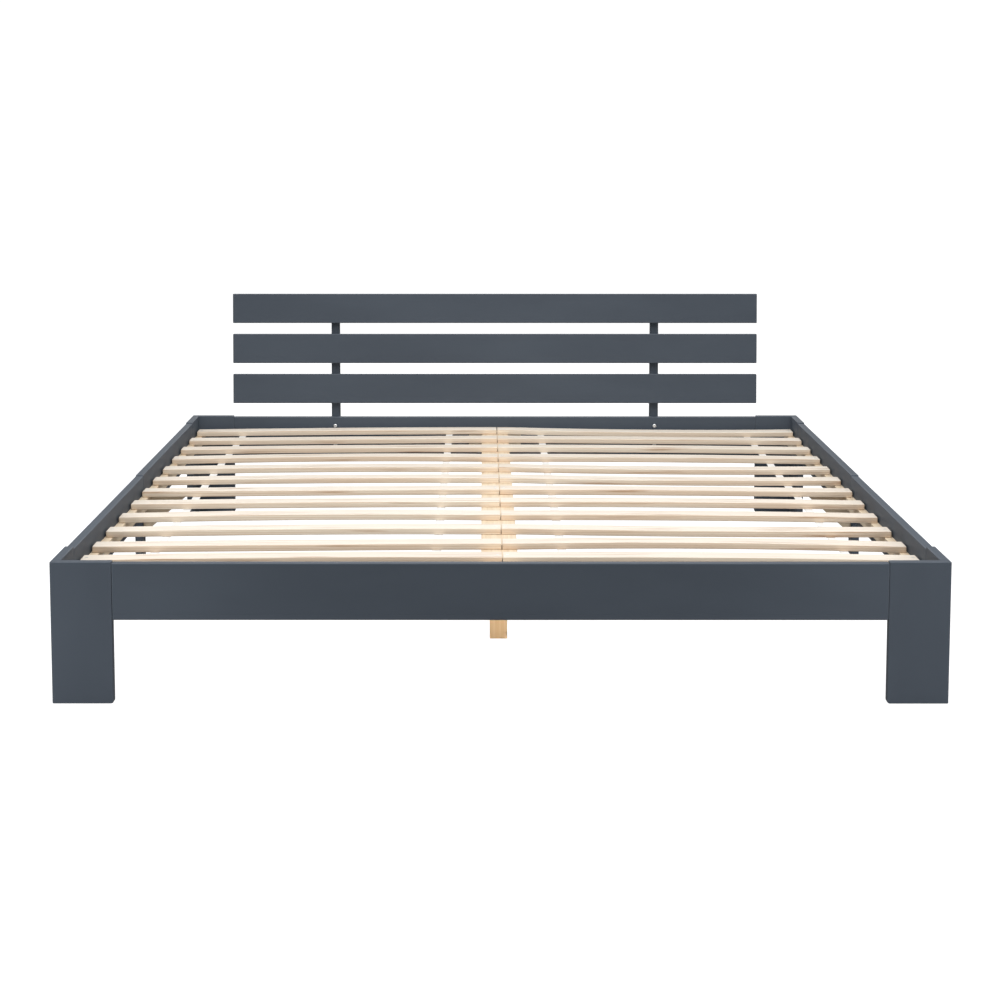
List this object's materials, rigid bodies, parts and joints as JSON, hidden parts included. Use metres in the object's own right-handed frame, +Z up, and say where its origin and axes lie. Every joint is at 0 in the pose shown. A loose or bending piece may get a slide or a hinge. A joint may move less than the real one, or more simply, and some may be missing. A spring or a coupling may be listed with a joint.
{
  "type": "bed frame",
  "caption": "Low double bed frame of painted pine boards with a slatted base, a centre beam on legs and a leaning headboard of horizontal planks.",
  "frame": {"origin": "on the floor in the middle of the bed's footprint, the uprights behind the headboard included", "axes": "+Z up, +Y towards the headboard, +X to the right seen from the foot end"},
  "size_m": [1.88, 2.1104, 0.682],
  "materials": {
    "grey_paint": "blue-grey painted pine, satin, grain showing slightly through the paint",
    "pine": "bare planed pine with small knots, matt",
    "woven_tape": "white woven polyester tape",
    "zinc_bolt": "zinc-plated"
  },
  "bodies": {
    "root": {"bottom_headboard_plank": "grey_paint", "centre_beam": "pine", "front_beam_block": "pine", "front_centre_leg": "pine", "front_left_post": "grey_paint", "front_rail": "grey_paint", "front_right_post": "grey_paint", "left_headboard_upright": "grey_paint", "left_inner_tape": "woven_tape", "left_ledger": "pine", "left_leg_bracket": "pine", "left_lower_headboard_bolt": "zinc_bolt", "left_middle_leg": "grey_paint", "left_outer_tape": "woven_tape", "left_side_rail_front": "grey_paint", "left_side_rail_rear": "grey_paint", "left_slat_01": "pine", "left_slat_02": "pine", "left_slat_03": "pine", "left_slat_04": "pine", "left_slat_05": "pine", "left_slat_06": "pine", "left_slat_07": "pine", "left_slat_08": "pine", "left_slat_09": "pine", "left_slat_10": "pine", "left_slat_11": "pine", "left_slat_12": "pine", "left_upper_headboard_bolt": "zinc_bolt", "middle_headboard_plank": "grey_paint", "rear_beam_block": "pine", "rear_centre_leg": "pine", "rear_left_post": "grey_paint", "rear_rail": "grey_paint", "rear_right_post": "grey_paint", "right_headboard_upright": "grey_paint", "right_inner_tape": "woven_tape", "right_ledger": "pine", "right_leg_bracket": "pine", "right_lower_headboard_bolt": "zinc_bolt", "right_middle_leg": "grey_paint", "right_outer_tape": "woven_tape", "right_side_rail_front": "grey_paint", "right_side_rail_rear": "grey_paint", "right_slat_01": "pine", "right_slat_02": "pine", "right_slat_03": "pine", "right_slat_04": "pine", "right_slat_05": "pine", "right_slat_06": "pine", "right_slat_07": "pine", "right_slat_08": "pine", "right_slat_09": "pine", "right_slat_10": "pine", "right_slat_11": "pine", "right_slat_12": "pine", "right_upper_headboard_bolt": "zinc_bolt", "top_headboard_plank": "grey_paint"}
  },
  "joints": []
}
